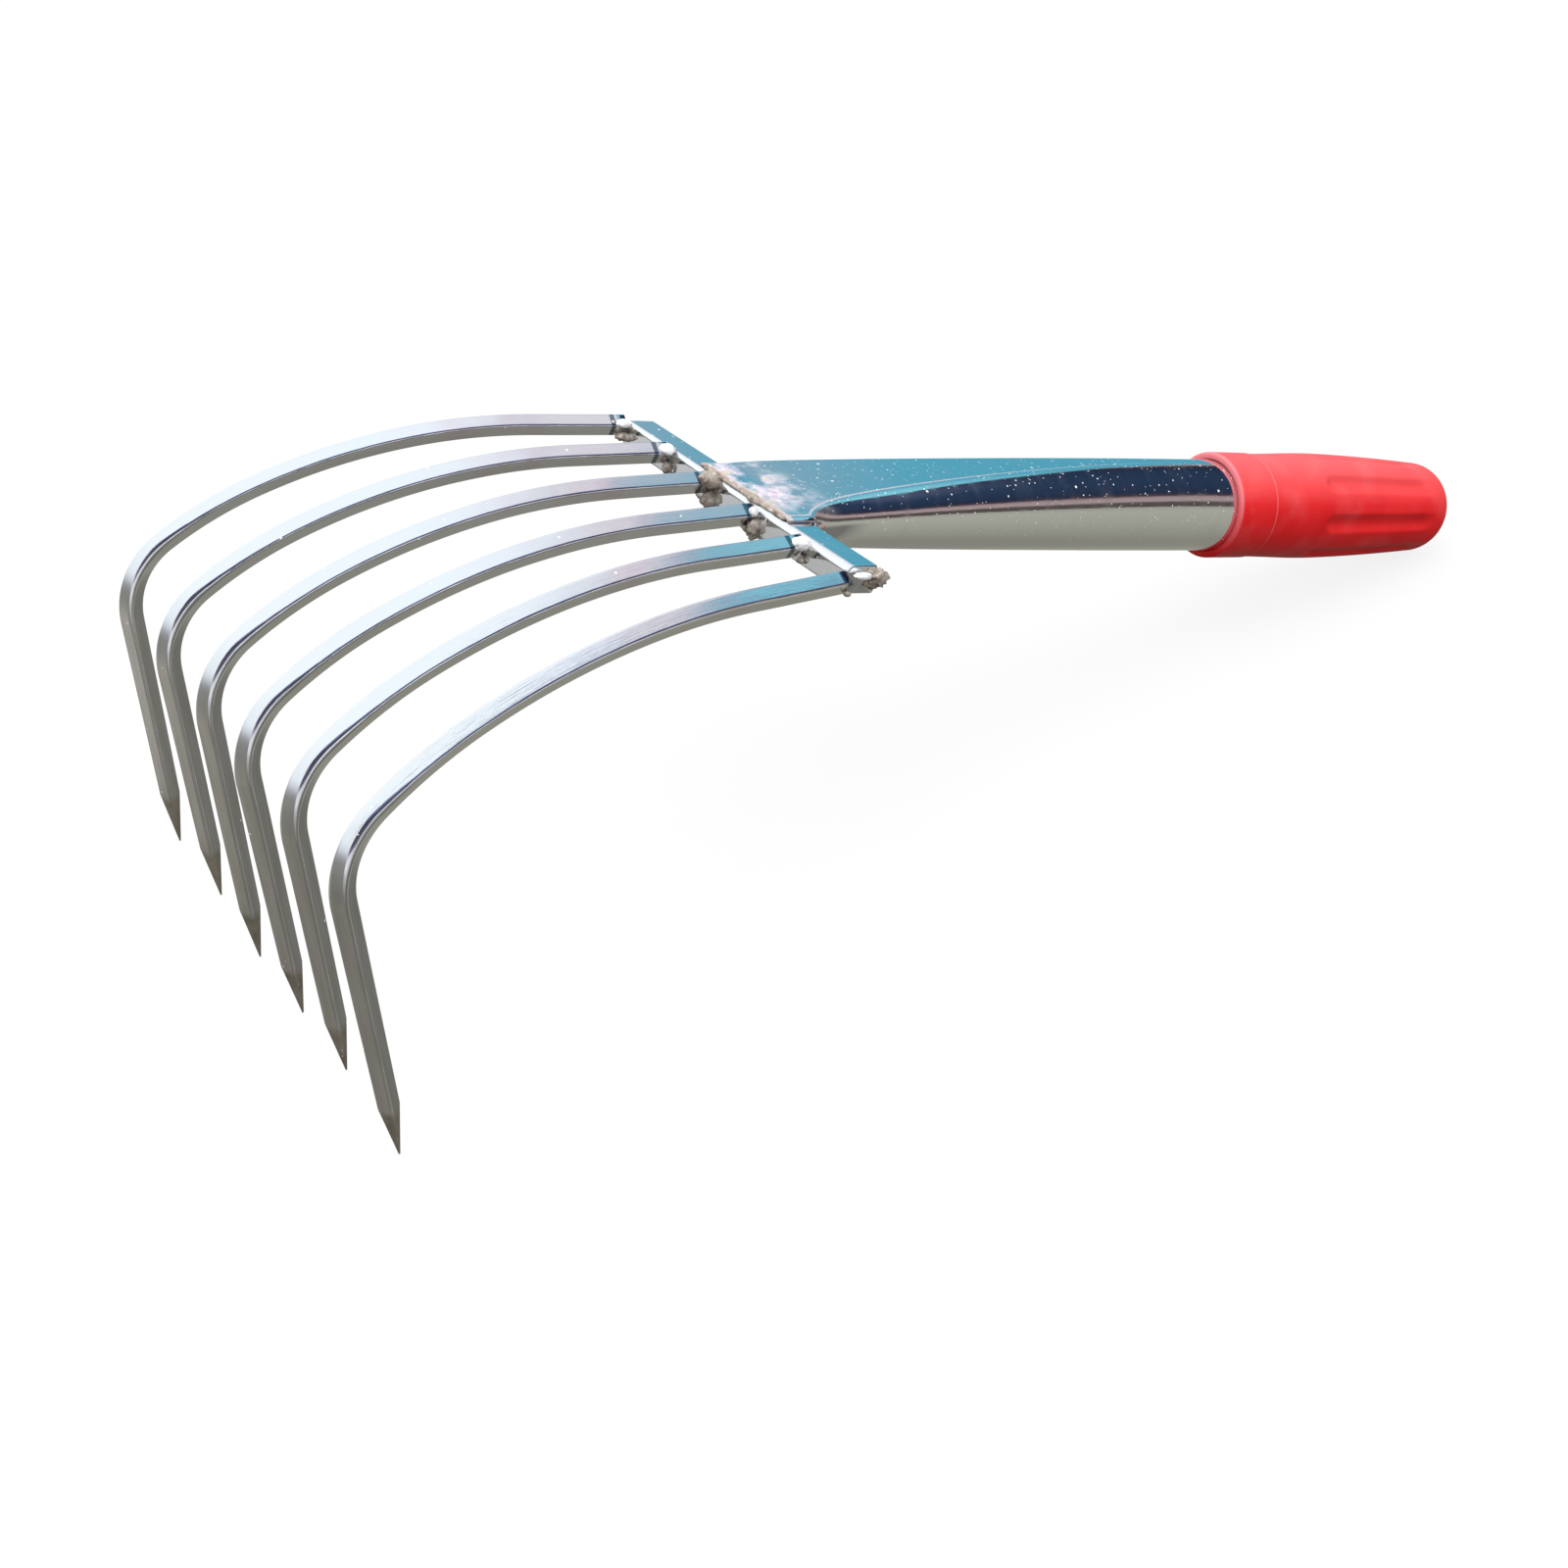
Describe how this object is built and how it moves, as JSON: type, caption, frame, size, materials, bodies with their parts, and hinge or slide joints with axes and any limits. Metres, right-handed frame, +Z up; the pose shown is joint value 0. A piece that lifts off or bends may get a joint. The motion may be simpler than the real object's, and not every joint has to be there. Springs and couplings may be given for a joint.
{
  "type": "hand rake",
  "caption": "Short-handled garden hand rake: curved, pointed square-bar tines welded to a crossbar, a pressed steel tube handle and a fluted plastic end grip.",
  "frame": {"origin": "on the floor under the middle of the rake, which stands on its two outer tine points and on the end of its grip", "axes": "+X from the tines towards the grip, +Y across the head towards tine_1, +Z up"},
  "size_m": [0.4768, 0.1838, 0.1298],
  "materials": {
    "polished_steel": "bright polished stainless bar, heat tinted blue and straw near the welds",
    "tube_steel": "mirror polished stainless tube",
    "bright_weld": "bright rippled weld metal",
    "brown_weld": "brown heat-stained weld metal",
    "red_plastic": "semi-matte moulded coral red plastic"
  },
  "bodies": {
    "root": {"tine_1": "polished_steel", "tine_bead_top_1": "bright_weld", "tine_bead_under_1": "brown_weld", "tine_2": "polished_steel", "tine_bead_top_2": "bright_weld", "tine_bead_under_2": "brown_weld", "tine_3": "polished_steel", "tine_bead_top_3": "bright_weld", "tine_bead_under_3": "brown_weld", "tine_4": "polished_steel", "tine_bead_top_4": "bright_weld", "tine_bead_under_4": "brown_weld", "tine_5": "polished_steel", "tine_bead_top_5": "bright_weld", "tine_bead_under_5": "brown_weld", "tine_6": "polished_steel", "tine_bead_top_6": "bright_weld", "tine_bead_under_6": "brown_weld", "crossbar": "polished_steel", "handle_tube": "tube_steel", "end_grip": "red_plastic", "handle_seam_top": "brown_weld", "handle_seam_under": "brown_weld", "crossbar_end_bead": "brown_weld"}
  },
  "joints": []
}
